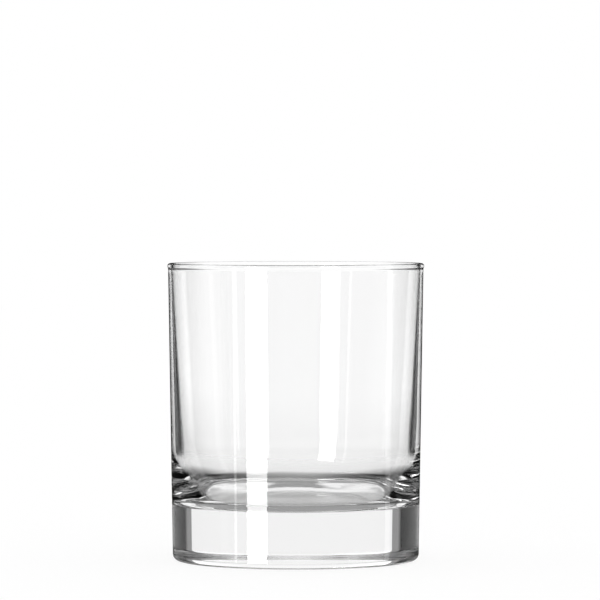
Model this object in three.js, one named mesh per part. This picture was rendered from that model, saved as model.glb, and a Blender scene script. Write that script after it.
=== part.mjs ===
// A water glass: a nearly straight, heavy-based tumbler of clear soda-lime glass.
// Millimetres, +Z up. The origin is the centre of the ring that the glass stands on.
// The glass is one continuous piece, formed from a single gob, so the whole section is one
// outline turned about the axis: underside, heel, outer wall, rim bead, inner wall and bowl.
import * as THREE from "three";

// Outside
const HEIGHT = 95.3;
const RIM_DIAMETER = 82.5; // over the bead
const BASE_DIAMETER = 79.0; // outer wall carried straight down to the table
const HEEL_RADIUS = 2.0; // round edge between the wall and the underside

// Wall and rim
const WALL_AT_RIM = 1.3; // just under the bead
const WALL_AT_FLOOR = 3.9; // inner wall carried straight down to the inner floor
const BEAD_OVERHANG = 0.25; // the fire-polished bead stands proud of the wall on both sides

// Bowl and base
const BASE_THICKNESS = 16.4; // inner floor above the table, on the axis
const SWEEP_LEVEL = 36.0; // the inner wall is straight above this, and sweeps inwards below it
const SWEEP_RADIUS = 47.0;
const BOWL_RADIUS = 6.0; // corner between the sweep and the inner floor
const DISH_RADIUS = 420.0; // the inner floor is a very shallow dish
const PUNT_DIAMETER = 62.0; // shallow hollow under the base, inside the standing ring
const PUNT_RISE = 0.5;

// Facets of the solid
const SECTORS = 64;
const CHORD_TOLERANCE = 0.04; // a round stretch of the outline departs no more than this from its arc

// Glass
const GLASS_COLOUR = 0xeef5f2;
const GLASS_ROUGHNESS = 0.03;
const GLASS_OPACITY = 0.35;

// Both walls are straight in section: a radius at a level, and a lean.
const beadRadius = WALL_AT_RIM / 2 + BEAD_OVERHANG;
const beadLevel = HEIGHT - beadRadius;
const outerLean = (RIM_DIAMETER / 2 - BEAD_OVERHANG - BASE_DIAMETER / 2) / beadLevel;
const outerRadiusAt = (level) => BASE_DIAMETER / 2 + outerLean * level;
const mouthRadius = outerRadiusAt(beadLevel) - WALL_AT_RIM;
const floorRadius = outerRadiusAt(BASE_THICKNESS) - WALL_AT_FLOOR;
const innerLean = (mouthRadius - floorRadius) / (beadLevel - BASE_THICKNESS);

// A point of the outline: distance from the axis, and level above the table.
const point = (radius, level) => new THREE.Vector2(radius, level);

// Points of a round stretch of the outline, from one angle to another, both ends included.
function arc(centre, radius, from, to) {
  const stepAngle = 2 * Math.acos(1 - CHORD_TOLERANCE / radius);
  const steps = Math.ceil(Math.abs(to - from) / stepAngle);
  return Array.from({ length: steps + 1 }, (_, i) => {
    const angle = from + ((to - from) * i) / steps;
    return point(centre.x + radius * Math.cos(angle), centre.y + radius * Math.sin(angle));
  });
}

// The lower of the two points where two circles cross.
function lowerCrossing(first, firstRadius, second, secondRadius) {
  const apart = first.distanceTo(second);
  const along = (firstRadius ** 2 - secondRadius ** 2 + apart ** 2) / (2 * apart);
  const aside = Math.sqrt(firstRadius ** 2 - along ** 2);
  const towards = second.clone().sub(first).normalize();
  const across = point(towards.y, -towards.x);
  const foot = first.clone().addScaledVector(towards, along);
  const crossings = [aside, -aside].map((shift) => foot.clone().addScaledVector(across, shift));
  return crossings[0].y < crossings[1].y ? crossings[0] : crossings[1];
}

// The hollow under the base is a shallow dome, from its crown on the axis to the standing ring.
function punt() {
  const edge = PUNT_DIAMETER / 2;
  const sphere = (edge * edge + PUNT_RISE * PUNT_RISE) / (2 * PUNT_RISE);
  const sweep = Math.asin(edge / sphere);
  return arc(point(0, PUNT_RISE - sphere), sphere, Math.PI / 2, Math.PI / 2 - sweep);
}

// The heel touches the standing ring and the leaning outer wall.
function heel() {
  const tilt = Math.atan(outerLean);
  const centreRadius = outerRadiusAt(HEEL_RADIUS) - HEEL_RADIUS / Math.cos(tilt);
  return arc(point(centreRadius, HEEL_RADIUS), HEEL_RADIUS, -Math.PI / 2, -tilt);
}

// The bead is round, and swells out of the wall on both sides.
function rimBead() {
  const undercut = Math.acos((beadRadius - BEAD_OVERHANG) / beadRadius);
  const beadCentre = point(RIM_DIAMETER / 2 - beadRadius, beadLevel);
  return arc(beadCentre, beadRadius, -undercut, Math.PI + undercut);
}

// The inside below the straight wall is three arcs, each touching the next: the sweep at the foot
// of the wall, the corner of the bowl, and the dished floor down to the axis.
function bowl() {
  const tilt = Math.atan(innerLean);
  const sweepStart = point(floorRadius + innerLean * (SWEEP_LEVEL - BASE_THICKNESS), SWEEP_LEVEL);
  const sweep = sweepStart.clone().add(point(-Math.cos(tilt), Math.sin(tilt)).multiplyScalar(SWEEP_RADIUS));
  const dish = point(0, BASE_THICKNESS + DISH_RADIUS);
  const corner = lowerCrossing(sweep, SWEEP_RADIUS - BOWL_RADIUS, dish, DISH_RADIUS - BOWL_RADIUS);
  const sweepEnd = Math.atan2(corner.y - sweep.y, corner.x - sweep.x);
  const dishEdge = Math.atan2(corner.y - dish.y, corner.x - dish.x);
  return [
    ...arc(sweep, SWEEP_RADIUS, -tilt, sweepEnd),
    ...arc(corner, BOWL_RADIUS, sweepEnd, dishEdge).slice(1),
    ...arc(dish, DISH_RADIUS, dishEdge, -Math.PI / 2).slice(1, -1),
    point(0, BASE_THICKNESS),
  ];
}

function tumbler() {
  const outline = [...punt(), ...heel(), ...rimBead(), ...bowl()];
  const glass = new THREE.MeshStandardMaterial({
    color: GLASS_COLOUR,
    roughness: GLASS_ROUGHNESS,
    metalness: 0,
    transparent: true,
    opacity: GLASS_OPACITY,
  });
  const mesh = new THREE.Mesh(new THREE.LatheGeometry(outline, SECTORS), glass);
  mesh.name = "tumbler";
  mesh.rotation.x = Math.PI / 2; // the lathe turns about Y, the glass stands along Z
  return mesh;
}

const waterGlass = new THREE.Group();
waterGlass.name = "water_glass";
waterGlass.add(tumbler());

export default waterGlass;
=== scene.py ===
"""A water glass: one heavy-based tumbler of clear glass, in a plain pale studio. Metres, +Z up."""
import math

import bpy
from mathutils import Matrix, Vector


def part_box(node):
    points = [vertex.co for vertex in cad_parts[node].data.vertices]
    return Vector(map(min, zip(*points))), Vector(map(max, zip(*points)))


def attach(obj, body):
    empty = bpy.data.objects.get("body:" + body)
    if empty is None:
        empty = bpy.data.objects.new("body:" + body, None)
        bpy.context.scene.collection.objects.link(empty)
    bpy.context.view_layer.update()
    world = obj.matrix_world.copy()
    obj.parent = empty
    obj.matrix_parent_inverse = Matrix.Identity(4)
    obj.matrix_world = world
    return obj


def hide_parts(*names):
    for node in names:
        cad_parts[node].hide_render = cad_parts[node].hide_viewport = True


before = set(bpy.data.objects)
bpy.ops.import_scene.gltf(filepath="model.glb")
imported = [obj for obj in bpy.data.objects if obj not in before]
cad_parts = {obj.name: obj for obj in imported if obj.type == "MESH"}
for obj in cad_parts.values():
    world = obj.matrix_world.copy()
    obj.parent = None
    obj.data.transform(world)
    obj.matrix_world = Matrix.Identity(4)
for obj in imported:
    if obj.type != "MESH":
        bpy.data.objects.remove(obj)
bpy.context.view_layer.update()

MM = 0.001
WHITE = (1, 1, 1, 1)
GLASS_NODE = "tumbler"

# Outside of the glass; its height and rim come from the frame
LOWEST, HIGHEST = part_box(GLASS_NODE)
HEIGHT = HIGHEST.z - LOWEST.z
RIM_RADIUS = (HIGHEST.x - LOWEST.x) / 2
BASE_RADIUS = 39.5 * MM  # outer wall carried straight down to the table
HEEL_RADIUS = 2.0 * MM

# Wall and rim
WALL_AT_RIM = 1.3 * MM
WALL_AT_FLOOR = 3.9 * MM
BEAD_OVERHANG = 0.25 * MM
BEAD_BLEND = 2.0 * MM  # hollow round where the bead swells out of the wall

# Bowl and base
BASE_THICKNESS = 16.4 * MM
SWEEP_LEVEL = 36.0 * MM  # the inner wall is straight above this
SWEEP_RADIUS = 47.0 * MM
BOWL_RADIUS = 6.0 * MM
DISH_RADIUS = 420.0 * MM
PUNT_RADIUS = 31.0 * MM
PUNT_RISE = 0.5 * MM

# Unevenness of the inside, low in the bowl
WAVE_HEIGHT = 0.05 * MM
WAVE_TOP = 52.0 * MM
WAVE_PITCH = 4.0 * MM
WAVES = ((4, 0.7), (9, 2.1), (15, 4.4))  # waves round the bowl, and where each starts

# Fineness of the mesh
SECTORS = 288
ARC_STEP = math.radians(2.5)
FEWEST_ARC_STEPS = 2
LONGEST_STEP = 1.5 * MM

# Glass
GLASS_IOR = 1.52
GLASS_TINT = (0.87, 0.87, 0.87, 1)
GLASS_TINT_DENSITY = 4.0
HAZE_SCALE = 40.0
HAZE_CLEAR = 0.5  # the noise leaves the glass clear up to this value
HAZE_ROUGHNESS = 0.003
RIPPLE_SCALE = 55.0
RIPPLE_STRENGTH = 0.025
RIPPLE_HEIGHT = 0.3 * MM
LONGEST_PATH = 32  # turns of the light that are followed

# Camera
CAMERA_PLACE = (1.36 * MM, -1350.0 * MM, 117.2 * MM)
CAMERA_PITCH = 0.025  # radians below the horizon
CAMERA_SENSOR = 36.0
CAMERA_LENS = 252.26

# Table; all but the shadow is how the glass shows it
FLOOR_SIZE = 6.0
FLOOR_DROP = 0.1 * MM  # the table lies just clear of the standing ring
SHADOW_SHARE = 0.14  # how much of the floor's white takes the object's shadow
# Painted light on the table, which only the glass shows: a glow under the glass, and the glass's shade
# painted around it
PAINTED_UNDER_GLOW = 0.33  # painted light: the table under the glass glows, standing in for light that comes down through the glass
PAINTED_SHADE_MIDDLE = 0.28  # painted shade of the glass on the table: close to the glass, along the middle
PAINTED_SHADE_SIDES = 0.03  # painted shade, and to both sides of that
DARK_SIDE = (8.0 * MM, 22.0 * MM)
TABLE_PALE = 0.97
DIM_REACH = 45.0 * MM
PALE_REACH = 118.0 * MM
SHADE_SLANT = 0.25  # the painted shade on the table reaches further back at both sides
UNDER_EDGE = (36.0 * MM, 42.0 * MM)
SHADE_EDGE = (65.0 * MM, 95.0 * MM)
SHEEN_EDGE = (0.72, 0.83)  # the table turns clear at a glancing angle, by the facing ratio

# White room that the camera sees, and that lights the table
BACKDROP_LIGHT = 1.0
DOME_LIGHT = 1.0

# The room as the glass shows it, by direction
ROOM_FAR = 1.0
ROOM_NEAR = 0.9  # on the camera's side
NEAR_EDGE = (-0.6, -0.2)
ROOM_DARK = 0.0  # low down at both sides of the back card
DARK_STARTS = (math.radians(8), math.radians(14))
DARK_ENDS = (math.radians(74), math.radians(88))
ROOM_GLEAM = 0.55  # a paler stripe at each side in the dark, seen straight through the base
GLEAM_LEAN = math.radians(3)  # both stripes are this far to the right
GLEAM_STARTS = (math.radians(41), math.radians(43))
GLEAM_ENDS = (math.radians(47.5), math.radians(50.5))
GLEAM_TURNS = (3.5, 2.5)  # the stripes fade out as the light takes more turns
ROOM_OVERHEAD = 1.0
OVERHEAD_EDGE = (0.5, 0.62)
ROOM_STRIP = 0.05  # a dim strip overhead on the camera's side, away from the very top
STRIP_FRONT = (-0.1, 0.1)
STRIP_SIDE = (0.3, 0.45)
STRIP_END = (0.93, 0.95)
ROOM_GLOSS = 0.02  # low down in reflections
ROOM_DEEP = 0.0  # after many turns inside the glass
DEEP_EDGE = (4.5, 6.5)  # turns
DEEP_TOP = (0.5, 0.65)  # the room overhead is not dimmed

# Back card that the glass shows: both ends by azimuth in degrees and distance, its top, and its light
CARD_LEFT = (-32.0, 231.0 * MM)
CARD_RIGHT = (35.3, 176.0 * MM)
CARD_HEIGHT = 120.0 * MM
CARD_FOOT_LIGHT = 0.97
CARD_TOP_LIGHT = 1.06
CARD_END_LIGHT = 1.33
FADE_FOOT = 12.0 * MM
FADE_TOP = 38.0 * MM
END_FADE = (30.0 * MM, 75.0 * MM)  # distance from the middle over which the ends get lighter

# Softboxes at the front left and at the right: the azimuth of both edges in degrees, and the light
SOFTBOXES = {
    "main_softbox": (-154.5, -135.5, 13.0),
    "slit_softbox": (-125.5, -123.0, 3.0),
    "fill_softbox": (-116.0, -108.0, 0.3),
    "right_softbox": (84.5, 91.0, 1.3),
}
SOFTBOX_DISTANCE = 700.0 * MM
SOFTBOX_HEIGHT = 300.0 * MM
SOFTBOX_LOSS = 0.8  # after many turns inside the glass

bead_radius = WALL_AT_RIM / 2 + BEAD_OVERHANG
bead_level = HEIGHT - bead_radius
bead_centre = RIM_RADIUS - bead_radius
outer_lean = (RIM_RADIUS - BEAD_OVERHANG - BASE_RADIUS) / bead_level
mouth_radius = BASE_RADIUS + outer_lean * bead_level - WALL_AT_RIM
floor_radius = BASE_RADIUS + outer_lean * BASE_THICKNESS - WALL_AT_FLOOR
inner_lean = (mouth_radius - floor_radius) / (bead_level - BASE_THICKNESS)


def arc(centre, radius, start, stop):
    """Points of a round stretch of the outline, both ends included."""
    steps = max(FEWEST_ARC_STEPS, math.ceil(abs(stop - start) / ARC_STEP))
    angles = [start + (stop - start) * i / steps for i in range(steps + 1)]
    return [(centre[0] + radius * math.cos(a), centre[1] + radius * math.sin(a)) for a in angles]


def punt():
    """The shallow dome under the base, from its crown on the axis to the standing ring."""
    sphere = (PUNT_RADIUS ** 2 + PUNT_RISE ** 2) / (2 * PUNT_RISE)
    sweep = math.asin(PUNT_RADIUS / sphere)
    return arc((0, PUNT_RISE - sphere), sphere, math.pi / 2, math.pi / 2 - sweep)


def heel():
    """The round edge between the underside and the outer wall."""
    tilt = math.atan(outer_lean)
    centre = BASE_RADIUS + outer_lean * HEEL_RADIUS - HEEL_RADIUS / math.cos(tilt)
    return arc((centre, HEEL_RADIUS), HEEL_RADIUS, -math.pi / 2, -tilt)


def rim_bead():
    """The fire-polished bead, with a hollow blend into the wall on each side."""
    reach = bead_radius - BEAD_OVERHANG + BEAD_BLEND
    drop = math.acos(reach / (bead_radius + BEAD_BLEND))
    blend_level = bead_level - (bead_radius + BEAD_BLEND) * math.sin(drop)
    outside = arc((bead_centre + reach, blend_level), BEAD_BLEND, math.pi, math.pi - drop)
    bead = arc((bead_centre, bead_level), bead_radius, -drop, math.pi + drop)
    inside = arc((bead_centre - reach, blend_level), BEAD_BLEND, drop, 0)
    return outside + bead[1:-1] + inside


def lower_crossing(first, first_radius, second, second_radius):
    """The lower of the two points where two circles cross."""
    across = second[0] - first[0]
    up = second[1] - first[1]
    apart = math.hypot(across, up)
    along = (first_radius ** 2 - second_radius ** 2 + apart ** 2) / (2 * apart)
    aside = math.sqrt(first_radius ** 2 - along ** 2)
    foot = (first[0] + along * across / apart, first[1] + along * up / apart)
    shift = (aside * up / apart, -aside * across / apart)
    crossings = [(foot[0] + shift[0], foot[1] + shift[1]), (foot[0] - shift[0], foot[1] - shift[1])]
    return min(crossings, key=lambda point: point[1])


def bowl():
    """The inside below the straight wall: three arcs, each touching the next, down to the axis."""
    tilt = math.atan(inner_lean)
    sweep_start = floor_radius + inner_lean * (SWEEP_LEVEL - BASE_THICKNESS)
    sweep = (sweep_start - SWEEP_RADIUS * math.cos(tilt), SWEEP_LEVEL + SWEEP_RADIUS * math.sin(tilt))
    dish = (0, BASE_THICKNESS + DISH_RADIUS)
    corner = lower_crossing(sweep, SWEEP_RADIUS - BOWL_RADIUS, dish, DISH_RADIUS - BOWL_RADIUS)
    sweep_end = math.atan2(corner[1] - sweep[1], corner[0] - sweep[0])
    dish_edge = math.atan2(corner[1] - dish[1], corner[0] - dish[0])
    wall_foot = arc(sweep, SWEEP_RADIUS, -tilt, sweep_end)
    turn = arc(corner, BOWL_RADIUS, sweep_end, dish_edge)
    floor = arc(dish, DISH_RADIUS, dish_edge, -math.pi / 2)
    return wall_foot + turn[1:-1] + floor


def refined(outline):
    """The outline with no step longer than the longest one wanted."""
    fine = [outline[0]]
    for (r0, z0), (r1, z1) in zip(outline, outline[1:]):
        steps = max(1, math.ceil(math.hypot(r1 - r0, z1 - z0) / LONGEST_STEP))
        fine += [(r0 + (r1 - r0) * i / steps, z0 + (z1 - z0) * i / steps) for i in range(1, steps + 1)]
    return fine


def wave(radius, level, angle):
    """How far the inside strays from true round: most low in the bowl, nothing on the axis."""
    foot = min(1, max(0, (WAVE_TOP - level) / (WAVE_TOP - BASE_THICKNESS)))
    outward = radius / floor_radius
    swell = sum(math.sin(count * angle + start + level / WAVE_PITCH) for count, start in WAVES)
    return WAVE_HEIGHT * foot * outward * swell / len(WAVES)


def turned(name, outer, inner):
    """A smooth closed body: outside and inside, from axis to axis, turned about Z."""
    rings = outer[1:] + inner[:-1]
    vertices = [(0, 0, outer[0][1])]
    for index, (radius, level) in enumerate(rings):
        inside = index >= len(outer) - 1
        for sector in range(SECTORS):
            angle = 2 * math.pi * sector / SECTORS
            sway = wave(radius, level, angle) if inside else 0
            across = radius + sway
            vertices.append((across * math.cos(angle), across * math.sin(angle), level + sway))
    vertices.append((0, 0, inner[-1][1]))
    centre = len(vertices) - 1
    faces = []
    for sector in range(SECTORS):
        after = (sector + 1) % SECTORS
        faces.append((0, 1 + after, 1 + sector))
        for ring in range(len(rings) - 1):
            low = 1 + ring * SECTORS
            high = low + SECTORS
            faces.append((low + sector, low + after, high + after, high + sector))
        last = 1 + (len(rings) - 1) * SECTORS
        faces.append((last + sector, last + after, centre))
    mesh = bpy.data.meshes.new(name)
    mesh.from_pydata(vertices, [], faces)
    mesh.shade_smooth()
    piece = bpy.data.objects.new(name, mesh)
    bpy.context.collection.objects.link(piece)
    return piece


def new_material(name):
    material = bpy.data.materials.new(name)
    material.use_nodes = True
    material.node_tree.nodes.clear()
    output = material.node_tree.nodes.new("ShaderNodeOutputMaterial")
    return material, material.node_tree, output


def feed(tree, socket, value):
    """Sets a socket to a plain number, or links another socket to it."""
    if isinstance(value, float):
        socket.default_value = value
    else:
        tree.links.new(value, socket)


def calculated(tree, operation, first, second=0.0):
    node = tree.nodes.new("ShaderNodeMath")
    node.operation = operation
    feed(tree, node.inputs[0], first)
    feed(tree, node.inputs[1], second)
    return node.outputs["Value"]


def ramp(tree, source, start, stop, low=0.0, high=1.0):
    """A value that goes from low to high as the source goes from start to stop."""
    node = tree.nodes.new("ShaderNodeMapRange")
    for name, value in (("From Min", start), ("From Max", stop), ("To Min", low), ("To Max", high)):
        node.inputs[name].default_value = value
    tree.links.new(source, node.inputs["Value"])
    return node.outputs["Result"]


def between(tree, source, starts, ends):
    """1 where the source lies between two soft edges, and 0 outside them."""
    return calculated(tree, "SUBTRACT", ramp(tree, source, *starts), ramp(tree, source, *ends))


def mixed(tree, share, first, second):
    """A blend of two values, all first at a share of 0 and all second at 1."""
    node = tree.nodes.new("ShaderNodeMix")
    feed(tree, node.inputs["Factor"], share)
    feed(tree, node.inputs["A"], first)
    feed(tree, node.inputs["B"], second)
    return node.outputs["Result"]


def blended(tree, share, first, second):
    """A blend of two shaders, all first at a share of 0 and all second at 1."""
    node = tree.nodes.new("ShaderNodeMixShader")
    feed(tree, node.inputs["Fac"], share)
    tree.links.new(first, node.inputs[1])
    tree.links.new(second, node.inputs[2])
    return node.outputs["Shader"]


def coordinates(tree, kind):
    """The place or direction that is shaded, whole and as X, Y and Z."""
    place = tree.nodes.new("ShaderNodeTexCoord").outputs[kind]
    split = tree.nodes.new("ShaderNodeSeparateXYZ")
    tree.links.new(place, split.inputs["Vector"])
    return place, split.outputs["X"], split.outputs["Y"], split.outputs["Z"]


def noise(tree, scale):
    node = tree.nodes.new("ShaderNodeTexNoise")
    node.inputs["Scale"].default_value = scale
    tree.links.new(coordinates(tree, "Object")[0], node.inputs["Vector"])
    return node.outputs["Fac"]


def ray_depth(tree):
    """How many turns the light has taken on its way through the glass."""
    return tree.nodes.new("ShaderNodeLightPath").outputs["Ray Depth"]


def glass_material():
    """Clear soda-lime glass, fire-polished: faintly uneven, and hardly tinted even through the base."""
    material, tree, output = new_material("clear_glass_looks")
    glass = tree.nodes.new("ShaderNodeBsdfPrincipled")
    glass.inputs["Base Color"].default_value = WHITE
    glass.inputs["IOR"].default_value = GLASS_IOR
    glass.inputs["Transmission Weight"].default_value = 1.0
    haze = ramp(tree, noise(tree, HAZE_SCALE), HAZE_CLEAR, 1.0, 0.0, HAZE_ROUGHNESS)
    tree.links.new(haze, glass.inputs["Roughness"])
    bump = tree.nodes.new("ShaderNodeBump")
    bump.inputs["Strength"].default_value = RIPPLE_STRENGTH
    bump.inputs["Distance"].default_value = RIPPLE_HEIGHT
    tree.links.new(noise(tree, RIPPLE_SCALE), bump.inputs["Height"])
    tree.links.new(bump.outputs["Normal"], glass.inputs["Normal"])
    tint = tree.nodes.new("ShaderNodeVolumeAbsorption")
    tint.inputs["Color"].default_value = GLASS_TINT
    tint.inputs["Density"].default_value = GLASS_TINT_DENSITY
    tree.links.new(glass.outputs["BSDF"], output.inputs["Surface"])
    tree.links.new(tint.outputs["Volume"], output.inputs["Volume"])
    return material


def make_glass():
    outer = refined(punt() + heel() + rim_bead())
    inner = refined([outer[-1]] + bowl())[1:]
    glass = turned("tumbler_glass", outer, inner)
    glass.data.materials.append(glass_material())
    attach(glass, "root")
    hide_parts(GLASS_NODE)


def sheet(name, corners):
    """A flat sheet with four corners."""
    mesh = bpy.data.meshes.new(name)
    mesh.from_pydata(corners, [], [(0, 1, 2, 3)])
    flat = bpy.data.objects.new(name, mesh)
    bpy.context.collection.objects.link(flat)
    return flat


def spot(azimuth, reach):
    """A place on the table, by degrees clockwise from straight behind the glass."""
    angle = math.radians(azimuth)
    return reach * math.sin(angle), reach * math.cos(angle)


def card_material(name, foot_light, top_light, end_light, loss):
    """Light from foot to top and out to both ends, less a loss after many turns inside the glass."""
    material, tree, output = new_material(name)
    emission = tree.nodes.new("ShaderNodeEmission")
    _, x, _, z = coordinates(tree, "Object")
    across = ramp(tree, calculated(tree, "ABSOLUTE", x), *END_FADE, top_light, end_light)
    light = mixed(tree, ramp(tree, z, FADE_FOOT, FADE_TOP), foot_light, across)
    share = ramp(tree, ray_depth(tree), *DEEP_EDGE, 1.0, 1.0 - loss)
    tree.links.new(calculated(tree, "MULTIPLY", light, share), emission.inputs["Strength"])
    tree.links.new(emission.outputs["Emission"], output.inputs["Surface"])
    return material


def card(name, start, stop, top, foot_light, top_light, end_light, loss=0.0):
    """An upright screen that only the glass shows, and that reaches as far below the table as above it."""
    screen = sheet(name, [(*start, -top), (*stop, -top), (*stop, top), (*start, top)])
    screen.data.materials.append(card_material(name, foot_light, top_light, end_light, loss))
    screen.visible_camera = False
    screen.visible_diffuse = False
    screen.visible_shadow = False
    return screen


def make_cards():
    left = spot(*CARD_LEFT)
    right = spot(*CARD_RIGHT)
    back = card("back_card", left, right, CARD_HEIGHT, CARD_FOOT_LIGHT, CARD_TOP_LIGHT, CARD_END_LIGHT)
    back.visible_glossy = False
    for name, (start, stop, light) in SOFTBOXES.items():
        first = spot(start, SOFTBOX_DISTANCE)
        last = spot(stop, SOFTBOX_DISTANCE)
        card(name, first, last, SOFTBOX_HEIGHT, light, light, light, SOFTBOX_LOSS)


def distance(tree):
    """How far a place on the table is from the middle of the glass."""
    length = tree.nodes.new("ShaderNodeVectorMath")
    length.operation = "LENGTH"
    tree.links.new(coordinates(tree, "Object")[0], length.inputs[0])
    return length.outputs["Value"]


def painted_table_shade(tree):
    """Painted shade of the glass on the table, as the glass shows it: dim close to it, darker at both
    sides, and pale further away.
    """
    _, x, y, _ = coordinates(tree, "Object")
    aside = calculated(tree, "ABSOLUTE", x)
    behind = calculated(tree, "SUBTRACT", y, calculated(tree, "MULTIPLY", aside, SHADE_SLANT))
    # painted shade: darker close to the glass and at both sides
    dim = ramp(tree, aside, *DARK_SIDE, PAINTED_SHADE_MIDDLE, PAINTED_SHADE_SIDES)
    shade = mixed(tree, ramp(tree, behind, DIM_REACH, PALE_REACH), dim, TABLE_PALE)
    return mixed(tree, ramp(tree, distance(tree), *SHADE_EDGE), shade, TABLE_PALE)


def table_in_glass(tree):
    """The table as the glass shows it: a painted glow under the glass, matt with painted shade around it,
    clear at a glancing angle.
    """
    matt = tree.nodes.new("ShaderNodeBsdfDiffuse")
    tree.links.new(painted_table_shade(tree), matt.inputs["Color"])
    # painted light: the table under the glass glows, though no lamp is there
    under = tree.nodes.new("ShaderNodeEmission")
    under.inputs["Strength"].default_value = PAINTED_UNDER_GLOW
    outside = ramp(tree, distance(tree), *UNDER_EDGE)
    lit = blended(tree, outside, under.outputs["Emission"], matt.outputs["BSDF"])
    clear = tree.nodes.new("ShaderNodeBsdfTransparent").outputs["BSDF"]
    facing = tree.nodes.new("ShaderNodeLayerWeight").outputs["Facing"]
    return blended(tree, ramp(tree, facing, *SHEEN_EDGE), lit, clear)


def table_seen(tree):
    """The table as the camera sees it: white, with a faint shadow."""
    white = tree.nodes.new("ShaderNodeEmission").outputs["Emission"]
    shaded = tree.nodes.new("ShaderNodeBsdfDiffuse")
    shaded.inputs["Color"].default_value = WHITE
    return blended(tree, SHADOW_SHARE, white, shaded.outputs["BSDF"])


def table_material():
    material, tree, output = new_material("pale_table")
    rays = tree.nodes.new("ShaderNodeLightPath")
    both = blended(tree, rays.outputs["Is Camera Ray"], table_in_glass(tree), table_seen(tree))
    tree.links.new(both, output.inputs["Surface"])
    return material


def make_floor():
    half = FLOOR_SIZE / 2
    floor = sheet("floor", [(-half, -half, 0), (half, -half, 0), (half, half, 0), (-half, half, 0)])
    floor.location.z = -FLOOR_DROP
    floor.data.materials.append(table_material())


def background(tree, light):
    node = tree.nodes.new("ShaderNodeBackground")
    node.inputs["Color"].default_value = WHITE
    feed(tree, node.inputs["Strength"], light)
    return node.outputs["Background"]


def room_overhead(tree):
    """The room above: pale, with a dim strip on the camera's side."""
    _, x, y, z = coordinates(tree, "Generated")
    aside = ramp(tree, calculated(tree, "ABSOLUTE", x), *STRIP_SIDE)
    top = ramp(tree, calculated(tree, "ABSOLUTE", z), *STRIP_END)
    beyond = calculated(tree, "MAXIMUM", ramp(tree, y, *STRIP_FRONT), top)
    off_strip = calculated(tree, "MAXIMUM", aside, beyond)
    return mixed(tree, off_strip, ROOM_STRIP, ROOM_OVERHEAD)


def room_around(tree):
    """The room low down: pale in front and behind, dark at both sides, with a paler stripe in the dark."""
    _, x, y, _ = coordinates(tree, "Generated")
    bearing = calculated(tree, "ARCTAN2", x, y)
    leaning = calculated(tree, "SUBTRACT", bearing, GLEAM_LEAN)
    dark = between(tree, calculated(tree, "ABSOLUTE", bearing), DARK_STARTS, DARK_ENDS)
    stripe = between(tree, calculated(tree, "ABSOLUTE", leaning), GLEAM_STARTS, GLEAM_ENDS)
    gleam = calculated(tree, "MULTIPLY", stripe, ramp(tree, ray_depth(tree), *GLEAM_TURNS))
    pale = ramp(tree, y, *NEAR_EDGE, ROOM_NEAR, ROOM_FAR)
    return mixed(tree, dark, pale, mixed(tree, gleam, ROOM_DARK, ROOM_GLEAM))


def room_in_glass(tree, glossy, through):
    """The room as the glass shows it, with a dim horizon in reflections, and dark after many turns."""
    height = calculated(tree, "ABSOLUTE", coordinates(tree, "Generated")[3])
    mirrored = calculated(tree, "SUBTRACT", glossy, through)
    horizon = mixed(tree, mirrored, room_around(tree), ROOM_GLOSS)
    room = mixed(tree, ramp(tree, height, *OVERHEAD_EDGE), horizon, room_overhead(tree))
    low = ramp(tree, height, *DEEP_TOP, 1.0, 0.0)
    deep = calculated(tree, "MULTIPLY", ramp(tree, ray_depth(tree), *DEEP_EDGE), low)
    return mixed(tree, deep, room, ROOM_DEEP)


def make_world():
    """A white studio for the camera and the table, and a room with dark sides for the glass."""
    world = bpy.data.worlds.new("studio")
    bpy.context.scene.world = world
    world.use_nodes = True
    tree = world.node_tree
    tree.nodes.clear()
    output = tree.nodes.new("ShaderNodeOutputWorld")
    rays = tree.nodes.new("ShaderNodeLightPath")
    glossy = rays.outputs["Is Glossy Ray"]
    through = rays.outputs["Is Transmission Ray"]
    by_glass = calculated(tree, "MAXIMUM", glossy, through)
    room = background(tree, room_in_glass(tree, glossy, through))
    lit = blended(tree, by_glass, background(tree, DOME_LIGHT), room)
    backdrop = background(tree, BACKDROP_LIGHT)
    shown = blended(tree, rays.outputs["Is Camera Ray"], lit, backdrop)
    tree.links.new(shown, output.inputs["Surface"])


def make_camera():
    data = bpy.data.cameras.new("camera")
    data.sensor_width = CAMERA_SENSOR
    data.lens = CAMERA_LENS
    camera = bpy.data.objects.new("camera", data)
    camera.location = CAMERA_PLACE
    camera.rotation_euler = (math.pi / 2 - CAMERA_PITCH, 0, 0)
    bpy.context.collection.objects.link(camera)
    bpy.context.scene.camera = camera


def set_quality():
    scene = bpy.context.scene
    scene.view_settings.view_transform = "Standard"
    scene.cycles.max_bounces = LONGEST_PATH
    scene.cycles.transmission_bounces = LONGEST_PATH
    scene.cycles.glossy_bounces = LONGEST_PATH


make_camera()
make_glass()
make_floor()
make_cards()
make_world()
set_quality()
